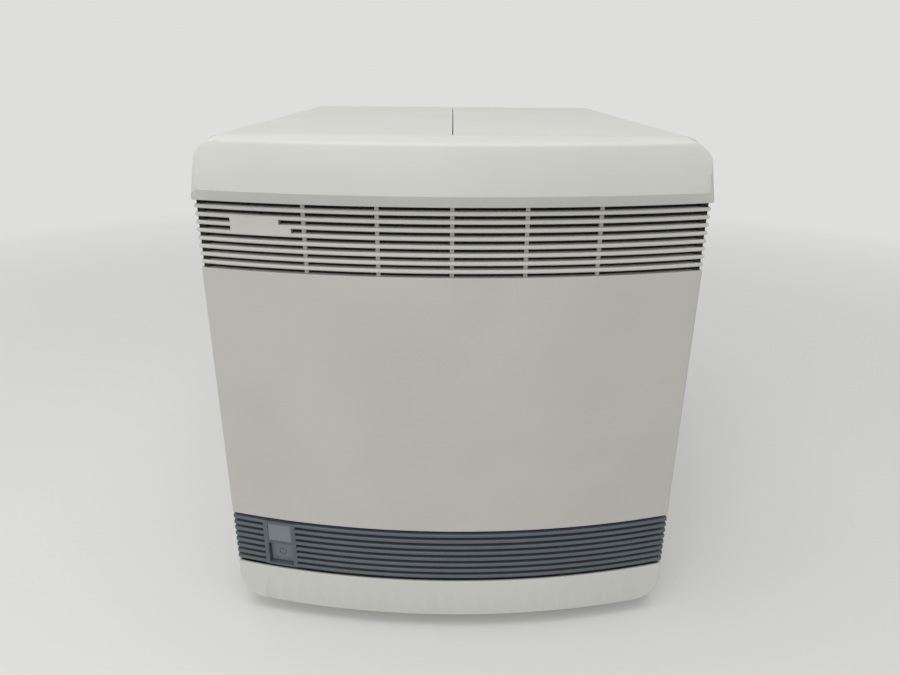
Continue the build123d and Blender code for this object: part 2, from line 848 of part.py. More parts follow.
adapter_length = plate_length + 2 * adapter_border
adapter_width = plate_width + 2 * adapter_border
tray_end_x = half_cover - tray_front_thickness
with BuildPart() as plate_tray:
    add(box_at((tray_tail_x, tray_end_x), span(tray_y, tray_width), (tray_bottom, tray_top)))
    with BuildSketch(Plane.XY.offset(tray_bottom)):
        with Locations((block_x, tray_y)):
            RectangleRounded(plate_length - 2 * ledge, plate_width - 2 * ledge, 3)
        with Locations((tray_tail_x + runner_length / 2, tray_y)):
            SlotOverall(runner_length / 2, rail_spacing / 4)
    extrude(amount=tray_thickness, mode=Mode.SUBTRACT)
    # Clamp that grips the inner strand of the belt
    clamp_y = (belt_y + pulley_radius + belt_thickness + fit_gap, tray_y - tray_width / 2)
    add(box_at((tray_tail_x, tray_tail_x + runner_width), clamp_y, (deck_top + rail_height / 2, tray_top)))
export(plate_tray.part, "plate_tray")

with BuildPart() as tray_front:
    with BuildSketch(Plane.YZ.offset(tray_end_x)):
        with Locations((tray_y, door_z)):
            RectangleRounded(tray_front_width, tray_front_height, 2)
    extrude(amount=tray_front_thickness)
    with BuildSketch(Plane.YZ.offset(half_cover)):
        with Locations((tray_y, door_z)):
            SlotOverall(tray_front_width / 2, tray_front_height / 3)
    extrude(amount=-tray_front_thickness / 3, mode=Mode.SUBTRACT)
export(tray_front.part, "tray_front")

# Plate adapter: a nest for a microplate, with a ledge all round and two finger notches
with BuildPart() as plate_adapter:
    with BuildSketch(Plane.XY.offset(tray_top)):
        with Locations((block_x, tray_y)):
            RectangleRounded(adapter_length, adapter_width, 4)
            RectangleRounded(plate_length - 2 * ledge, plate_width - 2 * ledge, 3, mode=Mode.SUBTRACT)
    extrude(amount=adapter_height)
    with BuildSketch(Plane.XY.offset(adapter_top)):
        with Locations((block_x, tray_y)):
            RectangleRounded(plate_length, plate_width, 3)
            Rectangle(2 * well_pitch, adapter_width)
    extrude(amount=-pocket_depth, mode=Mode.SUBTRACT)
export(plate_adapter.part, "plate_adapter")

# Belt drive of the tray: a motor under the deck, two pulleys and a flat belt
def motors(places, bore):
    """Square motors under the deck, with chamfered corners and a bore."""
    with BuildPart() as bodies:
        for x, y in places:
            with BuildSketch(Plane.XY.offset(deck_level)) as outline:
                with Locations((x, y)):
                    Rectangle(motor_size, motor_size)
                chamfer(outline.vertices(), motor_size / 10)
                with Locations((x, y)):
                    Circle(bore / 2 + bore_clearance, mode=Mode.SUBTRACT)
            extrude(amount=-motor_length)
    return bodies.part


export(motors([(motor_x, belt_y)], shaft_diameter), "tray_motor")
export(motors([(rod_x, y) for y in span(tray_y, guide_spacing)], rod_diameter), "lift_motors")


def pulley(x, bore):
    """A flanged pulley above the deck."""
    with BuildPart() as wheel:
        with Locations((x, belt_y, pulley_seat + pulley_width / 2)):
            Cylinder(pulley_radius, pulley_width)
        for z in (pulley_seat, pulley_seat + pulley_width - pulley_flange):
            with Locations((x, belt_y, z + pulley_flange / 2)):
                Cylinder(pulley_radius + belt_thickness + fit_gap, pulley_flange)
        with Locations((x, belt_y, pulley_seat + pulley_width / 2)):
            Cylinder(bore / 2, pulley_width, mode=Mode.SUBTRACT)
    return wheel.part


with BuildPart() as drive_pulley:
    add(pulley(motor_x, shaft_diameter))
    shaft_start = (motor_x, belt_y, deck_level - motor_length)
    add(rod(shaft_start, (0, 0, 1), shaft_diameter, motor_length + deck_thickness + fit_gap + pulley_width))
export(drive_pulley.part, "drive_pulley")
export(pulley(idler_x, shaft_diameter + 2 * guide_clearance), "idler_pulley")

with BuildPart() as tray_belt:
    with BuildSketch(Plane.XY.offset(pulley_seat + pulley_flange + fit_gap)):
        with Locations(((motor_x + idler_x) / 2, belt_y)):
            belt_radius = pulley_radius + fit_gap
            SlotCenterToCenter(idler_x - motor_x, 2 * (belt_radius + belt_thickness))
            SlotCenterToCenter(idler_x - motor_x, 2 * belt_radius, mode=Mode.SUBTRACT)
    extrude(amount=pulley_width - 2 * pulley_flange - 2 * fit_gap)
export(tray_belt.part, "tray_belt")

# Thermal module: sample block, coolers, finned sink, duct and fan, hung under the deck
with BuildPart() as sample_block:
    with BuildSketch(Plane.XY.offset(block_top)):
        with Locations((block_x, tray_y)):
            Rectangle(block_length, block_width)
    extrude(amount=-block_height)
    with BuildSketch(Plane.XY.offset(block_top)):
        with Locations((block_x, tray_y)):
            with GridLocations(well_pitch, well_pitch, well_columns, well_rows):
                RegularPolygon(well_radius, 6)
    extrude(amount=-well_depth, mode=Mode.SUBTRACT)
export(sample_block.part, "sample_block")

with BuildPart() as peltier_coolers:
    with BuildSketch(Plane.XY.offset(deck_level)):
        with Locations((block_x, tray_y)):
            with GridLocations(block_length / 3, 1, 3, 1):
                Rectangle(block_length / 3 - 2, block_width)
    extrude(amount=cooler_height)
export(peltier_coolers.part, "peltier_coolers")

fin_bottom = deck_level - sink_base - fin_height
with BuildPart() as heat_sink:
    with BuildSketch(Plane.YZ.offset(block_x - sink_length / 2)):
        with Locations((tray_y, deck_level - sink_base / 2)):
            Rectangle(sink_width, sink_base)
        fin_pitch = (sink_width - 2 * fin_thickness) / (fin_count - 1)
        with Locations((tray_y, fin_bottom + (fin_height + sink_base) / 2)):
            with GridLocations(fin_pitch, 1, fin_count, 1):
                Rectangle(fin_thickness, fin_height + sink_base)
    extrude(amount=sink_length)
export(heat_sink.part, "heat_sink")

duct_x = span(block_x, sink_length)
duct_y = span(tray_y, sink_width + 2 * fit_gap + 2 * sheet)
with BuildPart() as fan_duct:
    duct_floor = fin_bottom - fit_gap
    air_x = (duct_x[0] - 1, duct_x[1] + 1)
    air_y = (duct_y[0] + sheet, duct_y[1] - sheet)
    add(box_at(duct_x, duct_y, (duct_floor - sheet, deck_level)))
    add(box_at(air_x, air_y, (duct_floor, deck_level + 1)), mode=Mode.SUBTRACT)
    with Locations((block_x, tray_y, fin_bottom)):
        Cylinder(block_fan_size / 2 - fan_wall, 4 * sheet, mode=Mode.SUBTRACT)
export(fan_duct.part, "fan_duct")


# Fans: a square frame with struts to its hub, and a bladed rotor
def fan_frame(plane, size):
    """A fan's frame, its front on the plane and its hub's struts behind."""
    hub = size * hub_ratio / 2
    with BuildPart() as frame:
        with BuildSketch(plane):
            RectangleRounded(size, size, size / 20)
            Circle(size / 2 - fan_wall, mode=Mode.SUBTRACT)
        extrude(amount=-fan_depth)
        with BuildSketch(plane.offset(-fan_depth)):
            Circle(hub)
            with PolarLocations(size / 4, 4):
                Rectangle(size / 2 - fan_wall / 2, fan_wall)
        extrude(amount=fan_wall)
        with BuildSketch(plane.offset(fan_wall - fan_depth)):
            Circle(shaft_diameter / 2)
        extrude(amount=fan_wall)
    return frame.part


def fan_rotor(plane, size):
    """A hub and its pitched blades, with a bore that turns on the frame's pin."""
    hub = size * hub_ratio / 2
    tip = size / 2 - fan_wall - blade_gap
    depth = fan_depth - fan_wall - 3
    middle = plane.offset(-1 - depth / 2)
    with BuildPart(middle) as rotor:
        with PolarLocations((hub + tip) / 2, blade_count):
            Box(tip - hub + 2, blade_thickness, depth * 1.1, rotation=(blade_angle, 0, 0))
        Cylinder(tip, depth, mode=Mode.INTERSECT)
        Cylinder(hub, depth)
        with BuildSketch(middle.offset(-depth / 2)):
            Circle(shaft_diameter / 2 + guide_clearance)
        extrude(amount=fan_wall, mode=Mode.SUBTRACT)
    return rotor.part


def rear_fan_plane(x, z):
    """The plane of a fan that blows out through the rear panel."""
    return Plane(origin=(x, rear_inner_y, z), x_dir=(-1, 0, 0), z_dir=(0, 1, 0))


fan_planes = {
    "laser_fan": (rear_fan_plane(laser_fan_x, laser_fan_z), fan_size),
    "box_fan": (rear_fan_plane(box_fan_x, box_fan_z), fan_size),
    "block_fan": (Plane(origin=(block_x, tray_y, fin_bottom - fit_gap - sheet)), block_fan_size),
}
for name, (plane, size) in fan_planes.items():
    export(fan_frame(plane, size), f"{name}_frame")
    export(fan_rotor(plane, size), f"{name}_rotor")

# Heated cover: a window frame on a bridge that rides two guides, lifted by two rods
lid_bottom = tray_top + lid_clearance + lid_travel
lid_top = lid_bottom + lid_height
window_size = (block_length - 4, block_width - 4)
with BuildPart() as heated_cover:
    with BuildSketch(Plane.XY.offset(lid_bottom)):
        with Locations((block_x, tray_y)):
            RectangleRounded(window_size[0] + 2 * lid_border, window_size[1] + 2 * lid_border, 3)
            Rectangle(*window_size, mode=Mode.SUBTRACT)
    extrude(amount=lid_height)
    chamfer(heated_cover.faces().sort_by(Axis.Z)[0].outer_wire().edges(), 2)
    with BuildSketch(Plane.XY.offset(lid_bottom + lid_height / 2)):
        with Locations((block_x, tray_y)):
            Rectangle(window_size[0] + 4, window_size[1] + 4)
    extrude(amount=lid_height / 6, mode=Mode.SUBTRACT)
export(heated_cover.part, "heated_cover")

with BuildPart() as cover_window:
    with BuildSketch(Plane.XY.offset(lid_bottom + lid_height / 2 + fit_gap / 2)):
        with Locations((block_x, tray_y)):
            Rectangle(window_size[0] + 4 - fit_gap, window_size[1] + 4 - fit_gap)
    extrude(amount=lid_height / 6 - fit_gap)
export(cover_window.part, "cover_window")

with BuildPart() as lift_bridge:
    with BuildSketch(Plane.XY.offset(lid_top)):
        with Locations((block_x, tray_y)):
            RectangleRounded(window_size[0] + 2 * lid_border, bridge_length, 6)
            Rectangle(*window_size, mode=Mode.SUBTRACT)
        with Locations((guide_x, tray_y)):
            with GridLocations(1, guide_spacing, 1, 2):
                Circle(guide_diameter / 2 + guide_clearance, mode=Mode.SUBTRACT)
    extrude(amount=bridge_thickness)
export(lift_bridge.part, "lift_bridge")

with BuildPart() as lift_guides:
    with BuildSketch(Plane.XY.offset(deck_top)):
        with Locations((guide_x, tray_y)):
            with GridLocations(1, guide_spacing, 1, 2):
                Circle(guide_diameter / 2)
    extrude(amount=optics_level - deck_top)
export(lift_guides.part, "lift_guides")

with BuildPart() as lift_rods:
    with BuildSketch(Plane.XY.offset(lid_top)):
        with Locations((rod_x, tray_y)):
            with GridLocations(1, guide_spacing, 1, 2):
                Circle(rod_diameter / 2)
    extrude(amount=deck_level - motor_length - lid_top)
export(lift_rods.part, "lift_rods")

# Optics deck, its scan rail and carriage, and the spectrograph with its camera
optics_top = optics_level + optics_thickness
scan_start = block_x - scan_travel / 2
scan_y = tray_y + scan_rail_offset
carriage_z = optics_top + rail_height + fit_gap
with BuildPart() as optics_deck:
    add(box_at((optics_left, optics_left + optics_width), deck_y, (optics_level, optics_top)))
    with BuildSketch(Plane.XY.offset(optics_level)):
        with Locations((block_x, tray_y)):
            SlotOverall(scan_travel + barrel_diameter + 12, barrel_diameter + 12)
    extrude(amount=optics_thickness, mode=Mode.SUBTRACT)
export(optics_deck.part, "optics_deck")

with BuildPart() as scan_rail:
    rail_reach = scan_travel + scan_plate_length + 2 * rail_end_gap
    scan_rail_y = span(scan_y, 2 * rail_width)
    add(box_at(span(block_x, rail_reach), scan_rail_y, (optics_top, optics_top + rail_height)))
    for x in span(block_x, rail_reach - rail_end_gap):
        add(box_at(span(x, rail_width), scan_rail_y, (optics_top, carriage_z + 4)))
export(scan_rail.part, "scan_rail")

with BuildPart() as scan_carriage:
    add(
        box_at(
            span(scan_start, scan_plate_length),
            (tray_y - barrel_diameter / 2 - 4, scan_y + rail_width + 6),
            (carriage_z, carriage_z + 8),
        )
    )
    for y in (scan_y - rail_width - fit_gap - 3, scan_y + rail_width + fit_gap + 3):
        add(
            box_at(span(scan_start, scan_plate_length), span(y, 6), (optics_top + 1, carriage_z + 1))
        )
    with Locations((scan_start, tray_y, carriage_z)):
        Hole(barrel_diameter / 2 + fit_gap, depth=4 * rail_height)
export(scan_carriage.part, "scan_carriage")

with BuildPart() as objective:
    with BuildSketch(Plane.XY.offset(carriage_z + 8)):
        with Locations((scan_start, tray_y)):
            Circle(barrel_diameter / 2 + 4)
    extrude(amount=6)
    with BuildSketch(Plane.XY.offset(carriage_z + 8)):
        with Locations((scan_start, tray_y)):
            Circle(barrel_diameter / 2)
    extrude(amount=barrel_length / 2)
    with BuildSketch(Plane.XY.offset(carriage_z + 8)):
        with Locations((scan_start, tray_y)):
            Circle(barrel_diameter / 2)
    extrude(amount=-barrel_length / 2, taper=8)
export(objective.part, "objective")

spectrograph_left = optics_left + spectrograph_inset
spectrograph_x = (spectrograph_left, spectrograph_left + spectrograph_width)
spectrograph_y = (deck_y[0] + 20, deck_y[0] + 20 + spectrograph_length)
with BuildPart() as spectrograph:
    add(box_at(spectrograph_x, spectrograph_y, (optics_top, optics_top + spectrograph_height)))
    chamfer(spectrograph.edges().filter_by(Axis.Z), 16)
    fillet(spectrograph.faces().sort_by(Axis.Z)[-1].edges(), 3)
export(spectrograph.part, "spectrograph")

with BuildPart() as ccd_camera:
    camera_start = (sum(spectrograph_x) / 2, spectrograph_y[1], optics_top + spectrograph_height / 2)
    add(rod(camera_start, (0, 1, 0), spectrograph_height * 0.6, 70))
    for k in range(3):
        ring_start = (camera_start[0], camera_start[1] + 28 + 12 * k, camera_start[2])
        add(rod(ring_start, (0, 1, 0), spectrograph_height * 0.75, 4))
export(ccd_camera.part, "ccd_camera")

# Laser in the lower bay: a ribbed housing whose rear end feeds its own fan
laser_y = (rear_inner_y - fan_depth - 30 - laser_length, rear_inner_y - fan_depth - 30)
with BuildPart() as laser_head:
    with BuildSketch(Plane.XZ.offset(-laser_y[1])):
        with Locations((laser_fan_x, pan_top + laser_height / 2)):
            Rectangle(laser_width, laser_height)
        with Locations((laser_fan_x, pan_top + laser_height)):
            with GridLocations(laser_width / 9, 1, 8, 1):
                Rectangle(laser_width / 18, laser_height / 6, mode=Mode.SUBTRACT)
    extrude(amount=laser_length)
    add(rod((laser_fan_x, laser_y[0], pan_top + laser_height / 2), (0, -1, 0), laser_width / 3, 20))
export(laser_head.part, "laser_head")

# Power supply in a vented case
supply_x = (frame_half - angle_leg - 10 - supply_width, frame_half - angle_leg - 10)
supply_y = (rear_inner_y - inlet_depth - 20 - supply_length, rear_inner_y - inlet_depth - 20)
with BuildPart() as power_supply:
    add(box_at(supply_x, supply_y, (pan_top, pan_top + supply_height)))
    with BuildSketch(Plane.XY.offset(pan_top + supply_height)):
        with Locations((sum(supply_x) / 2, sum(supply_y) / 2)):
            with GridLocations(1, vent_pitch, 1, 10):
                Rectangle(1.5 * vent_length, vent_width)
    extrude(amount=-sheet, mode=Mode.SUBTRACT)
export(power_supply.part, "power_supply")

# Control board on the chassis's stand-offs
with BuildPart() as control_board:
    board_y = span(board_middle_y, board_length)
    board_z = (standoff_z[0] - standoff_inset, standoff_z[0] - standoff_inset + board_height)
    add(box_at((board_x, board_x + board_thickness), board_y, board_z))
    chip_x = board_x + board_thickness
    chips = ((60, 60, 36), (130, 60, 24), (180, 60, 24), (70, 150, 50), (170, 150, 30), (230, 120, 20))
    for y, z, size in chips:
        add(box_at((chip_x, chip_x + 4), span(board_y[0] + y, size), span(board_z[0] + z, size)))
export(control_board.part, "control_board")

# Rear panel, recessed within the covers' rim
port_places = [(port_x - k * port_pitch, inlet_z) for k in range(3)]
rocker_x = inlet_x - rocker_offset
with BuildPart() as rear_panel:
    with BuildSketch(Plane.XZ.offset(-rear_y)) as rear_plan:
        with Locations((0, (foot_height + inner_top) / 2)):
            Rectangle(2 * inner_x - 2 * fit_gap, inner_top - foot_height - 2 * fit_gap)
        fillet(rear_plan.vertices().group_by(Axis.Y)[-1], edge_radius - cover_wall - fit_gap)
        with Locations((laser_fan_x, laser_fan_z), (box_fan_x, box_fan_z)):
            Circle(fan_size / 2 - fan_wall, mode=Mode.SUBTRACT)
        with Locations((inlet_x, inlet_z)):
            Rectangle(inlet_width, inlet_height, mode=Mode.SUBTRACT)
        with Locations((rocker_x, inlet_z)):
            Rectangle(rocker_width + 4, rocker_height + 4, mode=Mode.SUBTRACT)
        with Locations(port_places):
            Rectangle(port_width, port_height, mode=Mode.SUBTRACT)
        with Locations((-half_front / 2, box_fan_z), (0, (deck_level + optics_level) / 2)):
            with GridLocations(vent_pitch, 1, 14, 1):
                Rectangle(vent_width, vent_length, mode=Mode.SUBTRACT)
    extrude(amount=sheet)
export(rear_panel.part, "rear_panel")

with BuildPart() as rear_screws:
    with BuildSketch(Plane.XZ.offset(-rear_y)):
        with Locations((0, (foot_height + inner_top) / 2)):
            with GridLocations(inner_x - angle_leg, inner_top - foot_height - angle_leg, 3, 2):
                RegularPolygon(rear_screw_diameter / 2, 6)
            with GridLocations(2 * inner_x - angle_leg, inner_top / 4, 2, 3):
                RegularPolygon(rear_screw_diameter / 2, 6)
    extrude(amount=-rear_screw_height)
export(rear_screws.part, "rear_screws")

with BuildPart() as fan_guards:
    guard_step = (fan_size / 2 - fan_wall) / guard_rings
    with BuildSketch(Plane.XZ.offset(-rear_y)):
        with Locations((laser_fan_x, laser_fan_z), (box_fan_x, box_fan_z)):
            for k in range(guard_rings):
                Circle((k + 1) * guard_step + guard_wire)
                Circle((k + 1) * guard_step, mode=Mode.SUBTRACT)
            for angle in (45, 135):
                Rectangle(fan_size - 2 * fan_wall + guard_wire, guard_wire, rotation=angle)
    extrude(amount=-guard_wire)
export(fan_guards.part, "fan_guards")

# Mains inlet: a flanged socket with three pins, and a rocker switch beside it
rocker_pivot_y = rear_y - rocker_depth / 2
with BuildPart() as power_inlet:
    with BuildSketch(Plane.XZ.offset(-rear_y)):
        with Locations((inlet_x, inlet_z)):
            RectangleRounded(inlet_width + 20, inlet_height + 8, 4)
    extrude(amount=-inlet_flange)
    with BuildSketch(Plane.XZ.offset(-rear_y)):
        with Locations((inlet_x, inlet_z)):
            Rectangle(inlet_width - fit_gap, inlet_height - fit_gap)
    extrude(amount=inlet_depth)
    with BuildSketch(Plane.XZ.offset(-rear_y - inlet_flange)) as mouth:
        with Locations((inlet_x, inlet_z)):
            Rectangle(inlet_width - 6, inlet_height - 20)
        chamfer(mouth.vertices().group_by(Axis.Y)[-1], 5)
    extrude(amount=inlet_depth, mode=Mode.SUBTRACT)
    with BuildSketch(Plane.XZ.offset(-rear_y + inlet_depth)):
        with Locations((inlet_x, inlet_z + 3), (inlet_x - 7, inlet_z - 3), (inlet_x + 7, inlet_z - 3)):
            Rectangle(2, 4)
    extrude(amount=-inlet_depth + 4)
    # The rocker's frame and its pivot pin
    with BuildSketch(Plane.XZ.offset(-rear_y)):
        with Locations(((inlet_x + rocker_x) / 2, inlet_z)):
            Rectangle(rocker_offset, rocker_height + 10)
        with Locations((inlet_x, inlet_z)):
            Rectangle(inlet_width, inlet_height, mode=Mode.SUBTRACT)
        with Locations((rocker_x, inlet_z)):
            RectangleRounded(rocker_width + 10, rocker_height + 10, 2)
            Rectangle(rocker_width + 2 * rocker_gap, rocker_height + 2 * rocker_gap, mode=Mode.SUBTRACT)
    extrude(amount=-rocker_rim)
    with BuildSketch(Plane.XZ.offset(-rear_y)):
        with Locations((rocker_x, inlet_z)):
            Rectangle(rocker_width + 4 - fit_gap, rocker_height + 4 - fit_gap)
            Rectangle(rocker_width + 2 * rocker_gap, rocker_height + 2 * rocker_gap, mode=Mode.SUBTRACT)
    extrude(amount=rocker_depth)
    with Locations((rocker_x, rocker_pivot_y, inlet_z)):
        Cylinder(rocker_pin / 2, rocker_width + 3, rotation=(0, 90, 0))
export(power_inlet.part, "power_inlet")

tilt = radians(rocker_throw / 2)
rocker_plane = Plane(
    origin=(rocker_x - rocker_width / 2, rocker_pivot_y, inlet_z),
    x_dir=(0, cos(tilt), -sin(tilt)),
    z_dir=(1, 0, 0),
)
with BuildPart() as mains_rocker:
    with BuildSketch(rocker_plane):
        with BuildLine():
            reach = rocker_height / 2 - 1
            rise = rocker_depth / 2 + rocker_rim + reach * sin(tilt)
            Polyline(
                (rise, reach),
                (rise - reach * sin(tilt), 0),
                (rise, -reach),
                (-rocker_pin, -reach / 2),
                (-rocker_pin, reach / 2),
                (rise, reach),
            )
        make_face()
        Circle(rocker_pin / 2 + guide_clearance, mode=Mode.SUBTRACT)
    extrude(amount=rocker_width)
export(mains_rocker.part, "mains_rocker")

# Data ports: square shells with an open mouth
with BuildPart() as data_ports:
    with BuildSketch(Plane.XZ.offset(-rear_y)):
        with Locations(port_places):
            Rectangle(port_width - fit_gap, port_height - fit_gap)
            Rectangle(port_width - 3, port_height - 3, mode=Mode.SUBTRACT)
    extrude(amount=port_depth)
    with BuildSketch(Plane.XZ.offset(-rear_y + port_depth)):
        with Locations(port_places):
            Rectangle(port_width - fit_gap, port_height - fit_gap)
    extrude(amount=-2)
    with BuildSketch(Plane.XZ.offset(-rear_y)):
        with Locations(port_places):
            Rectangle(port_width + 3, port_height + 3)
            Rectangle(port_width - 3, port_height - 3, mode=Mode.SUBTRACT)
    extrude(amount=-1)
export(data_ports.part, "data_ports")
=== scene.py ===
import json
import math

import bmesh
import bpy
from mathutils import Matrix, Vector


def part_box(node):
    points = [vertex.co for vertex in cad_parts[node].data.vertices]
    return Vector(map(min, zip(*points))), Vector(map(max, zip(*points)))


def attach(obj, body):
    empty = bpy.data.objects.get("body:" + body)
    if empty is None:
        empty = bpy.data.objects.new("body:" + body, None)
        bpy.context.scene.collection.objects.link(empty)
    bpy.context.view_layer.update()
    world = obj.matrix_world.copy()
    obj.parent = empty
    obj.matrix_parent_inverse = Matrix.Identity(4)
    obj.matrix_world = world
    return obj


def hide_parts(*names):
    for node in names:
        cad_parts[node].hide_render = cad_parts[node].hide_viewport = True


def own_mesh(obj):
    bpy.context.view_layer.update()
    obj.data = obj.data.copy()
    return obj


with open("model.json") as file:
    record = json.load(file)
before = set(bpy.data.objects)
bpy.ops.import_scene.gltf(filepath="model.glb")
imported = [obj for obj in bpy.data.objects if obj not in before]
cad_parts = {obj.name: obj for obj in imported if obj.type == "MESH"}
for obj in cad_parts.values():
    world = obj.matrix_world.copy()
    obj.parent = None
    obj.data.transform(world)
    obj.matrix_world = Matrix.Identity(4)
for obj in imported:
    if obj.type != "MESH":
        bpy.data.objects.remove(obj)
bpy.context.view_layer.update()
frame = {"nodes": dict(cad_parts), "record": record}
nodes = frame["nodes"]
record = frame["record"]
bodyOf = {name: body for body, names in record["behaviour"]["bodies"].items() for name in names}
slotOf = {part["node"]: part["material_slot"] for part in record["subparts"]}
print("frame loaded:", len(nodes), "nodes")


# Camera, light and floor

cameraView = {
    "place": (-0.0004, -1.2148, 0.7801),
    "lens": 27.57,
    "down": 21.147,  # degrees below level
    "turn": -0.095,
    "roll": 0.366,
}

camera = bpy.data.objects.new("photoCamera", bpy.data.cameras.new("photoCamera"))
bpy.context.scene.collection.objects.link(camera)
camera.data.sensor_width = 36.0
camera.data.lens = cameraView["lens"]
down = math.radians(cameraView["down"])
turn = math.radians(cameraView["turn"])
roll = math.radians(cameraView["roll"])
forward = Vector((math.sin(turn) * math.cos(down), math.cos(turn) * math.cos(down), -math.sin(down)))
level = Vector((math.cos(turn), -math.sin(turn), 0.0))
lift = level.cross(forward)
across = level * math.cos(roll) + lift * math.sin(roll)
upward = lift * math.cos(roll) - level * math.sin(roll)
cameraAxes = Matrix((across, upward, -forward)).transposed().to_4x4()
camera.matrix_world = Matrix.Translation(cameraView["place"]) @ cameraAxes
bpy.context.scene.camera = camera
bpy.context.scene.view_settings.view_transform = "Standard"


def linearColour(value):
    parts = [int(value[i:i + 2], 16) / 255 for i in (1, 3, 5)]
    return tuple(c / 12.92 if c <= 0.04045 else ((c + 0.055) / 1.055) ** 2.4 for c in parts) + (1.0,)


def addNode(tree, kind, settings=None, values=None, links=None, stops=None):
    node = tree.nodes.new(kind)
    for key, value in (settings or {}).items():
        setattr(node, key, value)
    for key, value in (values or {}).items():
        node.inputs[key].default_value = value
    for key, source in (links or {}).items():
        tree.links.new(source, node.inputs[key])
    if stops:
        ramp = node.color_ramp
        while len(ramp.elements) < len(stops):
            ramp.elements.new(1.0)
        for element, (place, colour) in zip(ramp.elements, stops):
            element.position = place
            element.color = colour
    return node


def startMaterial(name, colour, **shading):
    material = bpy.data.materials.new(name)
    material.use_nodes = True
    tree = material.node_tree
    shader = tree.nodes["Principled BSDF"]
    shader.inputs["Base Color"].default_value = linearColour(colour)
    for key, value in shading.items():
        shader.inputs[key].default_value = value
    place = addNode(tree, "ShaderNodeTexCoord").outputs["Object"]
    return material, tree, shader, place


def perMetre(millimetres):
    return 1000.0 / millimetres


studio = {
    "backdrop": "#E1E2DF",
    "glow": "#DEDFDD",  # what the camera sees of the far wall
    "ambient": 0.47,
    "overhead": 40.0,
    "front": 31.0,
    "left": 8.0,
}

world = bpy.data.worlds.new("studioWorld")
bpy.context.scene.world = world
world.use_nodes = True
worldTree = world.node_tree
worldTree.nodes.clear()
rays = addNode(worldTree, "ShaderNodeLightPath")
seen = addNode(worldTree, "ShaderNodeMath", {"operation": "MAXIMUM"},
               links={0: rays.outputs["Is Camera Ray"], 1: rays.outputs["Is Glossy Ray"]})
seen = addNode(worldTree, "ShaderNodeMath", {"operation": "MAXIMUM"},
               links={0: seen.outputs[0], 1: rays.outputs["Is Transmission Ray"]})
lightSide = addNode(worldTree, "ShaderNodeBackground",
                    values={"Color": (1, 1, 1, 1), "Strength": studio["ambient"]})
seenSide = addNode(worldTree, "ShaderNodeBackground",
                   values={"Color": linearColour(studio["glow"]), "Strength": 1.0})
mixed = addNode(worldTree, "ShaderNodeMixShader",
                links={0: seen.outputs[0], 1: lightSide.outputs[0], 2: seenSide.outputs[0]})
addNode(worldTree, "ShaderNodeOutputWorld", links={"Surface": mixed.outputs[0]})


def softbox(name, place, target, size, watts):
    lamp = bpy.data.objects.new(name, bpy.data.lights.new(name, "AREA"))
    lamp.data.shape = "RECTANGLE"
    lamp.data.size, lamp.data.size_y = size
    lamp.data.energy = watts
    lamp.location = place
    lamp.rotation_euler = (Vector(target) - Vector(place)).to_track_quat("-Z", "Y").to_euler()
    bpy.context.scene.collection.objects.link(lamp)


softbox("overheadBox", (-0.2, -0.6, 3.0), (0.0, -0.1, 0.5), (3.0, 2.2), studio["overhead"])
softbox("frontBox", (-0.9, -3.2, 2.3), (0.0, 0.0, 0.5), (2.6, 1.8), studio["front"])
softbox("leftBox", (-3.2, -0.6, 1.6), (0.0, 0.0, 0.4), (2.0, 2.0), studio["left"])

# Paper sweep: a floor that curves up into a wall behind the object
sweep = {"half": 9.0, "coveStart": 2.6, "coveRadius": 1.2, "coveSteps": 16, "wall": 5.0}
floorMesh = bmesh.new()
floorStart = [floorMesh.verts.new((side * sweep["half"], -sweep["half"], 0)) for side in (-1, 1)]
floorEdge = floorMesh.edges.new(floorStart)
front = bmesh.ops.extrude_edge_only(floorMesh, edges=[floorEdge])
frontVerts = [v for v in front["geom"] if isinstance(v, bmesh.types.BMVert)]
bmesh.ops.translate(floorMesh, verts=frontVerts, vec=(0, sweep["half"] + sweep["coveStart"], 0))
frontEdges = [e for e in front["geom"] if isinstance(e, bmesh.types.BMEdge)]
coveCentre = (0, sweep["coveStart"], sweep["coveRadius"])
curve = bmesh.ops.spin(floorMesh, geom=frontVerts + frontEdges, cent=coveCentre, axis=(1, 0, 0),
                       angle=math.pi / 2, steps=sweep["coveSteps"], use_duplicate=False)
lastEdges = [e for e in curve["geom_last"] if isinstance(e, bmesh.types.BMEdge)]
wall = bmesh.ops.extrude_edge_only(floorMesh, edges=lastEdges)
wallVerts = [v for v in wall["geom"] if isinstance(v, bmesh.types.BMVert)]
bmesh.ops.translate(floorMesh, verts=wallVerts, vec=(0, 0, sweep["wall"]))
bmesh.ops.recalc_face_normals(floorMesh, faces=floorMesh.faces)
floorData = bpy.data.meshes.new("studioFloor")
for face in floorMesh.faces:
    face.smooth = True
floorMesh.to_mesh(floorData)
floorMesh.free()
floor = bpy.data.objects.new("studioFloor", floorData)
bpy.context.scene.collection.objects.link(floor)

# Backdrop paper: matt, and paler to the eye the farther it lies, as an evenly lit sweep looks
paper, paperTree, paperShader, paperPlace = startMaterial(
    "backdropPaper", studio["backdrop"], Roughness=0.9)
paperShader.inputs["Specular IOR Level"].default_value = 0.1
paperGlow = addNode(paperTree, "ShaderNodeEmission",
                    values={"Color": linearColour(studio["glow"]), "Strength": 1.0})
paperRays = addNode(paperTree, "ShaderNodeLightPath")
paperSeen = addNode(paperTree, "ShaderNodeMath", {"operation": "MAXIMUM"},
                    links={0: paperRays.outputs["Is Camera Ray"], 1: paperRays.outputs["Is Glossy Ray"]})
paperAway = addNode(paperTree, "ShaderNodeVectorMath", {"operation": "LENGTH"}, links={0: paperPlace})
paperFar = addNode(paperTree, "ShaderNodeMapRange",
                   values={"From Min": 0.9, "From Max": 3.2, "To Min": 0.1, "To Max": 1.0},
                   links={"Value": paperAway.outputs["Value"]})
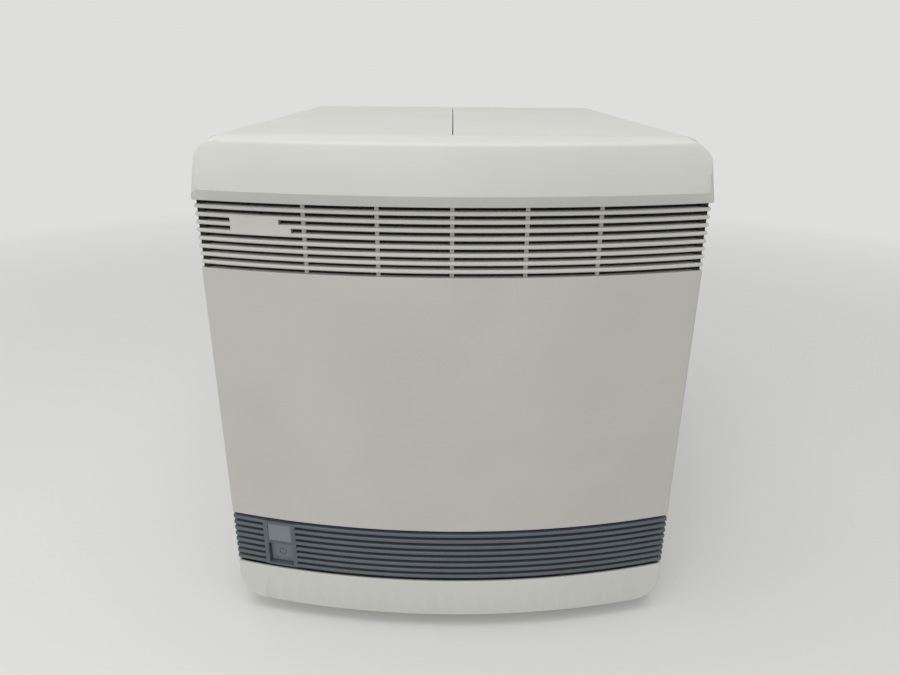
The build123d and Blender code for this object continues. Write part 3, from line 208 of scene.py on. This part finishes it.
paperShare = addNode(paperTree, "ShaderNodeMath", {"operation": "MULTIPLY"},
                     links={0: paperSeen.outputs[0], 1: paperFar.outputs[0]})
paperMix = addNode(paperTree, "ShaderNodeMixShader",
                   links={0: paperShare.outputs[0], 1: paperShader.outputs[0], 2: paperGlow.outputs[0]})
paperTree.links.new(paperMix.outputs[0], paperTree.nodes["Material Output"].inputs["Surface"])
floorData.materials.append(paper)
print("camera, light and floor done")


# Finishes: one material for each real finish, plus a paler and a darker copy of the moulding paint that
# carry painted light and painted shade

# Structural foam moulding under a warm light grey spatter paint: soft sheen, fine pebble
def spatterPaint(name, base, worn, pebble, rough):
    material, tree, shader, place = startMaterial(name, base, IOR=1.49)
    cloud = addNode(tree, "ShaderNodeTexNoise", values={"Scale": perMetre(140), "Detail": 3.0},
                    links={"Vector": place})
    tint = addNode(tree, "ShaderNodeValToRGB", links={"Fac": cloud.outputs["Fac"]},
                   stops=[(0.3, linearColour(base)), (0.72, linearColour(worn))])
    # rub marks: long thin streaks, only where a second cloud is high
    stretch = addNode(tree, "ShaderNodeMapping",
                      values={"Rotation": (0.2, 0.5, 0.9),
                              "Scale": (perMetre(35), perMetre(2.5), perMetre(6))},
                      links={"Vector": place})
    streak = addNode(tree, "ShaderNodeTexNoise", values={"Scale": 1.0, "Detail": 5.0},
                     links={"Vector": stretch.outputs[0]})
    streakCut = addNode(tree, "ShaderNodeMapRange", values={"From Min": 0.72, "From Max": 0.76},
                        links={"Value": streak.outputs["Fac"]})
    patch = addNode(tree, "ShaderNodeTexNoise", values={"Scale": perMetre(210), "Detail": 1.0},
                    links={"Vector": place})
    patchCut = addNode(tree, "ShaderNodeMapRange", values={"From Min": 0.6, "From Max": 0.7, "To Max": 0.3},
                       links={"Value": patch.outputs["Fac"]})
    rub = addNode(tree, "ShaderNodeMath", {"operation": "MULTIPLY"},
                  links={0: streakCut.outputs[0], 1: patchCut.outputs[0]})
    rubbed = addNode(tree, "ShaderNodeMixRGB", values={"Color2": linearColour("#DCDCD6")},
                     links={"Fac": rub.outputs[0], "Color1": tint.outputs["Color"]})
    tree.links.new(rubbed.outputs["Color"], shader.inputs["Base Color"])
    # pebble of the spatter coat, drawn coarser than its real 0.5 mm so that it shows
    grain = addNode(tree, "ShaderNodeTexNoise", values={"Scale": perMetre(pebble), "Detail": 2.0},
                    links={"Vector": place})
    bump = addNode(tree, "ShaderNodeBump", values={"Strength": 0.12, "Distance": 0.0003},
                   links={"Height": grain.outputs["Fac"]})
    tree.links.new(bump.outputs["Normal"], shader.inputs["Normal"])
    sheen = addNode(tree, "ShaderNodeMapRange", values={"To Min": rough - 0.06, "To Max": rough + 0.08},
                    links={"Value": cloud.outputs["Fac"]})
    tree.links.new(sheen.outputs[0], shader.inputs["Roughness"])
    return material


# Self-coloured moulded plastic: even colour, sparked tool texture
def mouldedPlastic(name, base, lighter, texture, rough, depth=0.0002):
    material, tree, shader, place = startMaterial(name, base, IOR=1.53)
    cloud = addNode(tree, "ShaderNodeTexNoise", values={"Scale": perMetre(45), "Detail": 4.0},
                    links={"Vector": place})
    tint = addNode(tree, "ShaderNodeValToRGB", links={"Fac": cloud.outputs["Fac"]},
                   stops=[(0.35, linearColour(base)), (0.7, linearColour(lighter))])
    tree.links.new(tint.outputs["Color"], shader.inputs["Base Color"])
    spark = addNode(tree, "ShaderNodeTexVoronoi", values={"Scale": perMetre(texture)},
                    links={"Vector": place})
    bump = addNode(tree, "ShaderNodeBump", values={"Strength": 0.15, "Distance": depth},
                   links={"Height": spark.outputs["Distance"]})
    tree.links.new(bump.outputs["Normal"], shader.inputs["Normal"])
    sheen = addNode(tree, "ShaderNodeMapRange", values={"To Min": rough - 0.05, "To Max": rough + 0.07},
                    links={"Value": cloud.outputs["Fac"]})
    tree.links.new(sheen.outputs[0], shader.inputs["Roughness"])
    return material


# Metal with a lay: fine lines along one direction from rolling, milling or grinding
def linedMetal(name, base, lighter, lay, rough, lines=0.6):
    material, tree, shader, place = startMaterial(name, base, Metallic=1.0)
    scale = [perMetre(lines)] * 3
    scale["xyz".index(lay)] = perMetre(lines * 80)
    along = addNode(tree, "ShaderNodeMapping", values={"Scale": scale}, links={"Vector": place})
    drawn = addNode(tree, "ShaderNodeTexNoise", values={"Scale": 1.0, "Detail": 3.0},
                    links={"Vector": along.outputs[0]})
    tint = addNode(tree, "ShaderNodeValToRGB", links={"Fac": drawn.outputs["Fac"]},
                   stops=[(0.3, linearColour(base)), (0.7, linearColour(lighter))])
    tree.links.new(tint.outputs["Color"], shader.inputs["Base Color"])
    sheen = addNode(tree, "ShaderNodeMapRange", values={"To Min": rough - 0.08, "To Max": rough + 0.1},
                    links={"Value": drawn.outputs["Fac"]})
    tree.links.new(sheen.outputs[0], shader.inputs["Roughness"])
    bump = addNode(tree, "ShaderNodeBump", values={"Strength": 0.08, "Distance": 0.0001},
                   links={"Height": drawn.outputs["Fac"]})
    tree.links.new(bump.outputs["Normal"], shader.inputs["Normal"])
    return material


# Zinc-plated sheet: faint frosted crystals, about 9 mm across
def zincPlate():
    material, tree, shader, place = startMaterial("zincPlatedSheet", "#A9ACAD", Metallic=1.0)
    crystal = addNode(tree, "ShaderNodeTexVoronoi", values={"Scale": perMetre(9)}, links={"Vector": place})
    tint = addNode(tree, "ShaderNodeValToRGB", links={"Fac": crystal.outputs["Color"]},
                   stops=[(0.0, linearColour("#9DA1A3")), (1.0, linearColour("#B9BCBC"))])
    tree.links.new(tint.outputs["Color"], shader.inputs["Base Color"])
    sheen = addNode(tree, "ShaderNodeMapRange", values={"To Min": 0.34, "To Max": 0.5},
                    links={"Value": crystal.outputs["Distance"]})
    tree.links.new(sheen.outputs[0], shader.inputs["Roughness"])
    return material


# Coated glass and smoked acrylic: clear, with a faint film of dust
def clearPane(name, colour, ior, rough, through):
    material, tree, shader, place = startMaterial(name, colour, IOR=ior)
    shader.inputs["Transmission Weight"].default_value = through
    dust = addNode(tree, "ShaderNodeTexNoise", values={"Scale": perMetre(3), "Detail": 4.0},
                   links={"Vector": place})
    sheen = addNode(tree, "ShaderNodeMapRange", values={"To Min": rough, "To Max": rough + 0.12},
                    links={"Value": dust.outputs["Fac"]})
    tree.links.new(sheen.outputs[0], shader.inputs["Roughness"])
    return material


# Circuit laminate under green solder mask: copper runs show as slightly lighter lines
def circuitBoard():
    material, tree, shader, place = startMaterial("solderMaskBoard", "#1E5A3A", Roughness=0.35)
    runs = addNode(tree, "ShaderNodeTexBrick", {"offset": 0.5},
                   {"Scale": perMetre(16), "Mortar Size": 0.03, "Color1": linearColour("#1B5335"),
                    "Color2": linearColour("#205C3D"), "Mortar": linearColour("#3C7A55")},
                   {"Vector": place})
    tree.links.new(runs.outputs["Color"], shader.inputs["Base Color"])
    return material


# Open-cell filter foam: black, with 2 mm pores whose pits are painted darker as painted shade in the hollows
def filterFoam():
    material, tree, shader, place = startMaterial("filterFoam", "#1B1C1E", Roughness=0.95)
    pores = addNode(tree, "ShaderNodeTexVoronoi", values={"Scale": perMetre(2)}, links={"Vector": place})
    # the pits of the pores get the darker colour: painted shade
    tint = addNode(tree, "ShaderNodeValToRGB", links={"Fac": pores.outputs["Distance"]},
                   stops=[(0.1, linearColour("#0D0D0E")), (0.6, linearColour("#2A2B2E"))])
    tree.links.new(tint.outputs["Color"], shader.inputs["Base Color"])
    bump = addNode(tree, "ShaderNodeBump", values={"Strength": 0.6, "Distance": 0.001},
                   links={"Height": pores.outputs["Distance"]})
    tree.links.new(bump.outputs["Normal"], shader.inputs["Normal"])
    return material


finish = {
    "painted_shell": spatterPaint("spatterPaintedFoam", "#C6C5BF", "#CBCAC4", 1.6, 0.46),
    # the next two are the moulding paint made paler (painted light, for the hood and cap) and darker
    # (painted shade, for the panel)
    "hood_shell": spatterPaint("spatterPaintedHood", "#CDCDC8", "#D2D2CD", 1.6, 0.46),
    "panel_shell": spatterPaint("spatterPaintedPanel", "#BDBCB6", "#C3C2BC", 1.6, 0.46),
    "painted_sheet": spatterPaint("powderCoatedSheet", "#C9C8C3", "#CFCFCA", 1.3, 0.42),
    "louvre_grey": mouldedPlastic("blueGreyAbs", "#535A61", "#585F67", 1.2, 0.5),
    "window_tint": clearPane("smokedAcrylic", "#868C94", 1.49, 0.12, 0.2),
    "button_grey": mouldedPlastic("buttonAbs", "#6A7079", "#70767E", 1.2, 0.42),
    "zinc_sheet": zincPlate(),
    "bare_aluminium": linedMetal("milledAluminium", "#B9BBBD", "#C9CBCC", "x", 0.34),
    "black_anodised": linedMetal("blackAnodisedAluminium", "#1A1A1C", "#232326", "x", 0.42),
    "bright_steel": linedMetal("groundSteel", "#B4B3B0", "#C4C3C0", "z", 0.26, 0.4),
    "fan_black": mouldedPlastic("glassFilledPbt", "#1A1B1C", "#222325", 0.9, 0.5),
    "foam_black": filterFoam(),
    "foot_rubber": mouldedPlastic("mouldedRubber", "#1E1E1F", "#28282A", 1.5, 0.78, 0.0004),
    "board_green": circuitBoard(),
    "lamp_clear": clearPane("diffusedLampResin", "#B9D6C2", 1.5, 0.35, 0.3),
    "ceramic_white": mouldedPlastic("aluminaCeramic", "#DAD9D4", "#E2E1DC", 0.8, 0.55),
    "lens_glass": clearPane("coatedLensGlass", "#DCE6EA", 1.52, 0.02, 0.95),
    "belt_rubber": mouldedPlastic("neopreneBelt", "#191919", "#222222", 1.0, 0.7),
    "data_metal": linedMetal("pressedPortSteel", "#A8A8A4", "#B9B9B5", "y", 0.3),
}

for name, node in nodes.items():
    for place in node.material_slots:
        place.material = finish[slotOf[name]]
print("finishes done:", len(finish))


# Pieces

def finishPiece(name, mesh, body, slot, replaced=(), sharp=35.0, paint=None):
    data = bpy.data.meshes.new(name)
    for face in mesh.faces:
        face.smooth = True
    mesh.to_mesh(data)
    mesh.free()
    data.set_sharp_from_angle(angle=math.radians(sharp))
    piece = bpy.data.objects.new(name, data)
    bpy.context.scene.collection.objects.link(piece)
    data.materials.append(finish[paint or slot])
    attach(piece, body)
    if replaced:
        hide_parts(*replaced)
    return piece


# Mouldings and sheets keep their solid's form, with the small edge radius of the real ones
edgeRadius = {  # millimetres
    "front_hood": 1.2, "upper_grille": 0.7, "front_panel": 1.0, "lower_louvre": 0.6, "front_base_cap": 1.0,
    "left_cover": 0.6, "right_cover": 0.6, "access_cover": 0.5, "rear_panel": 0.3, "base_pan": 0.5,
    "power_button": 0.5, "indicator_window": 0.3, "front_lock_pin": 0.2, "rear_lock_pin": 0.2,
    "tray_front": 0.8, "plate_tray": 0.4, "plate_adapter": 0.5, "power_inlet": 0.5, "mains_rocker": 0.6,
    "data_ports": 0.2, "laser_fan_frame": 0.5, "box_fan_frame": 0.5, "block_fan_frame": 0.5,
    "laser_fan_rotor": 0.3, "box_fan_rotor": 0.3, "block_fan_rotor": 0.3,
}


# Painted light and shade: the hood and the cap get a paler copy of the paint and the panel a darker one,
# standing in for how the light falls on them
paintedLightAndShade = {"front_hood": "hood_shell", "front_base_cap": "hood_shell", "front_panel": "panel_shell"}
# The hood's sides lean in by a share of their height, from nothing at its rear seam
hoodDraft = {"lean": 0.18, "run": 0.036}


def camelName(name):
    first, *rest = name.split("_")
    return first + "".join(word.capitalize() for word in rest)


for name, radius in edgeRadius.items():
    mesh = bmesh.new()
    mesh.from_mesh(nodes[name].data)
    bmesh.ops.remove_doubles(mesh, verts=mesh.verts, dist=0.000002)
    bmesh.ops.dissolve_limit(mesh, angle_limit=math.radians(0.5), use_dissolve_boundaries=False,
                             verts=mesh.verts, edges=mesh.edges)
    if name == "front_hood":
        low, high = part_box(name)
        for vert in mesh.verts:
            forwardShare = min(1.0, (high.y - vert.co.y) / hoodDraft["run"])
            vert.co.x *= 1 - forwardShare * hoodDraft["lean"] * (vert.co.z - low.z) / high.x
    # the paint override gives the hood and cap the paler paint (painted light) and the panel the darker
    # paint (painted shade)
    piece = finishPiece(camelName(name), mesh, bodyOf[name], slotOf[name], (name,),
                        paint=paintedLightAndShade.get(name))
    soften = piece.modifiers.new("edgeRadius", "BEVEL")
    soften.width = radius / 1000
    soften.segments = 2
    soften.limit_method = "ANGLE"
    soften.angle_limit = math.radians(35)
    soften.use_clamp_overlap = True
    soften.harden_normals = True
print("mouldings and sheets done")

# Filter foam that turns each corner, close behind the mouths of the grille's slots
cornerFoam = {"slots": 9, "pitch": 0.0101, "height": 0.0054, "inset": 0.0035, "filter": 0.0123,
              "play": 0.0001, "sideReturn": 0.056, "endPost": 0.030}
foamMesh = bmesh.new()
low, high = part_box("upper_grille")
f = cornerFoam
foamFront = high.y - f["sideReturn"] + f["inset"]
foamBack = high.y - f["endPost"]
foamInner, foamOuter = high.x - f["filter"], high.x - f["inset"]
foamSize = (foamOuter - foamInner, foamBack - foamFront, f["height"] - f["play"])
for side in (-1, 1):
    for k in range(f["slots"]):
        slotMiddle = low.z + f["height"] / 2 + k * f["pitch"]
        middle = (side * (foamInner + foamOuter) / 2, (foamFront + foamBack) / 2, slotMiddle)
        stretched = Matrix.Translation(middle) @ Matrix.Diagonal((*foamSize, 1))
        bmesh.ops.create_cube(foamMesh, size=1.0, matrix=stretched)
finishPiece("cornerFoam", foamMesh, "housing", "foam_black")


def lathe(mesh, profile, centre, axis, steps=32):
    pole = Vector(axis).normalized()
    side = pole.orthogonal().normalized()
    verts = [mesh.verts.new(Vector(centre) + side * radius + pole * height) for radius, height in profile]
    edges = [mesh.edges.new(pair) for pair in zip(verts, verts[1:])]
    bmesh.ops.spin(mesh, geom=verts + edges, cent=centre, axis=pole, angle=2 * math.pi, steps=steps,
                   use_merge=True, use_duplicate=False)
    bmesh.ops.remove_doubles(mesh, verts=mesh.verts, dist=0.000002)
    bmesh.ops.recalc_face_normals(mesh, faces=mesh.faces)


# Rubber feet: turned profile with a chamfered tread and a screw recess
footShape = {"top": 0.0235, "radius": 0.0215, "groove": 0.0012, "inset": 0.023}
feetMesh = bmesh.new()
low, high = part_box("feet")
r = footShape["radius"]
footProfile = [(0.0, 0.004), (0.007, 0.004), (0.0075, 0.0005), (0.009, 0.0), (r - 0.0035, 0.0),
               (r - 0.0018, 0.0006), (r - 0.0012, 0.002), (r - 0.0008, 0.009),
               (r - 0.0008 - footShape["groove"], 0.0096), (r - 0.0008 - footShape["groove"], 0.011),
               (r - 0.0006, 0.0116), (r, footShape["top"] - 0.0006), (r - 0.0006, footShape["top"]),
               (0.0, footShape["top"])]
for x in (low.x + footShape["inset"], high.x - footShape["inset"]):
    for y in (low.y + footShape["inset"], high.y - footShape["inset"]):
        lathe(feetMesh, footProfile, (x, y, 0.0), (0, 0, 1))
finishPiece("rubberFeet", feetMesh, "housing", "foot_rubber", ("feet",))

# Rear screws: pan heads with a round drive recess
screwShape = {"radius": 0.004, "height": 0.0024}
screwMesh = bmesh.new()
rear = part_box("rear_screws")[0].y
seatPoints = []
source = bmesh.new()
source.from_mesh(nodes["rear_screws"].data)
bmesh.ops.remove_doubles(source, verts=source.verts, dist=0.000002)
waiting = set(source.verts)
while waiting:  # one island of vertices is one screw
    island, edge = set(), {waiting.pop()}
    while edge:
        vert = edge.pop()
        island.add(vert)
        edge |= {e.other_vert(vert) for e in vert.link_edges} - island
    waiting -= island
    seatPoints.append(sum((v.co for v in island), Vector()) / len(island))
source.free()
s = screwShape
for seat in seatPoints:
    centre = (seat.x, rear, seat.z)
    lathe(screwMesh, [(s["radius"], 0.0), (s["radius"], 0.0008), (0.0036, 0.0015), (0.0027, 0.0021),
                      (0.0016, s["height"]), (0.0014, s["height"] - 0.0012), (0.0, s["height"] - 0.0014)],
          centre, (0, 1, 0), 20)
finishPiece("rearScrewHeads", screwMesh, "housing", "bright_steel", ("rear_screws",))

# Fan guards: round wire rings on crossed wires
guardShape = {"wire": 0.0012, "rings": 4, "border": 0.004}
wireAngles = [math.radians(45 * n) for n in range(9)]
guardMesh = bmesh.new()
for node in ("laser_fan_frame", "box_fan_frame"):
    low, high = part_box(node)
    middle = (low + high) / 2
    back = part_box("fan_guards")[0].y + guardShape["wire"]
    reach = (high.x - low.x) / 2 - guardShape["border"]
    w = guardShape["wire"]
    for k in range(guardShape["rings"]):
        radius = reach * (k + 1) / guardShape["rings"] + w * 0.9
        start = [(radius + w * math.cos(a), w * math.sin(a)) for a in wireAngles]
        lathe(guardMesh, start, (middle.x, back, middle.z), (0, 1, 0), 48)
    for angle in (45, 135):
        turned = Matrix.Rotation(math.radians(angle), 4, "Y")
        bmesh.ops.create_cone(guardMesh, cap_ends=True, segments=10, radius1=w, radius2=w,
                              depth=2 * reach + guardShape["border"],
                              matrix=Matrix.Translation((middle.x, back, middle.z)) @ turned)
finishPiece("guardWires", guardMesh, "housing", "bright_steel", ("fan_guards",), 50.0)

# Button spring: the solid's own mesh, merged and finished as it is; the bay's bow numbers also place the
# power mark below
bay = {"bowRadius": 1.193, "bowCentreY": 0.788, "across": 0.250, "wellHeight": 0.11105, "buttonDepth": 0.007,
       "springSeat": 0.0297, "springLength": 0.0084, "travel": 0.003, "slack": 0.97}
bayAngle = math.asin(bay["across"] / bay["bowRadius"])
bayOut = Vector((-math.sin(bayAngle), -math.cos(bayAngle), 0))
bowCentre = Vector((0, bay["bowCentreY"], bay["wellHeight"]))
springMesh = bmesh.new()
springMesh.from_mesh(nodes["button_spring"].data)
bmesh.ops.remove_doubles(springMesh, verts=springMesh.verts, dist=0.000002)
spring = finishPiece("buttonSpring", springMesh, "housing", slotOf["button_spring"], ("button_spring",))
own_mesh(spring)

# Generic power mark on the button: an open ring and a bar, printed
markShape = {"radius": 0.0052, "line": 0.0009, "height": 0.00012, "opening": 64}  # opening in degrees
buttonFace = bowCentre + bayOut * (bay["bowRadius"] - bay["buttonDepth"])
markMesh = bmesh.new()
m = markShape
ring = []
for height in (-m["height"], m["height"]):
    for radius in (m["radius"] - m["line"] / 2, m["radius"] + m["line"] / 2):
        ring.append((radius, height))
start = math.radians(90 + m["opening"] / 2)
pole = Vector((0, 0, 1))
corners = [markMesh.verts.new((r * math.cos(start), r * math.sin(start), h))
           for r, h in (ring[0], ring[1], ring[3], ring[2])]
face = markMesh.faces.new(corners)
bmesh.ops.spin(markMesh, geom=[face] + face.edges[:] + face.verts[:], cent=(0, 0, 0), axis=pole,
               angle=math.radians(360 - m["opening"]), steps=28, use_duplicate=False)
bmesh.ops.create_cube(markMesh, size=1.0, matrix=Matrix.Translation((0, m["radius"] * 0.82, 0))
                      @ Matrix.Diagonal((m["line"], m["radius"] * 0.95, 2 * m["height"], 1)))
bmesh.ops.recalc_face_normals(markMesh, faces=markMesh.faces)
sideways = Vector((math.cos(bayAngle), -math.sin(bayAngle), 0))
markFrame = Matrix((sideways, Vector((0, 0, 1)), bayOut)).transposed().to_4x4()
bmesh.ops.transform(markMesh, matrix=Matrix.Translation(buttonFace) @ markFrame, verts=markMesh.verts)
finishPiece("powerMark", markMesh, "button", "fan_black")
print("screws, guards, feet and mark done")
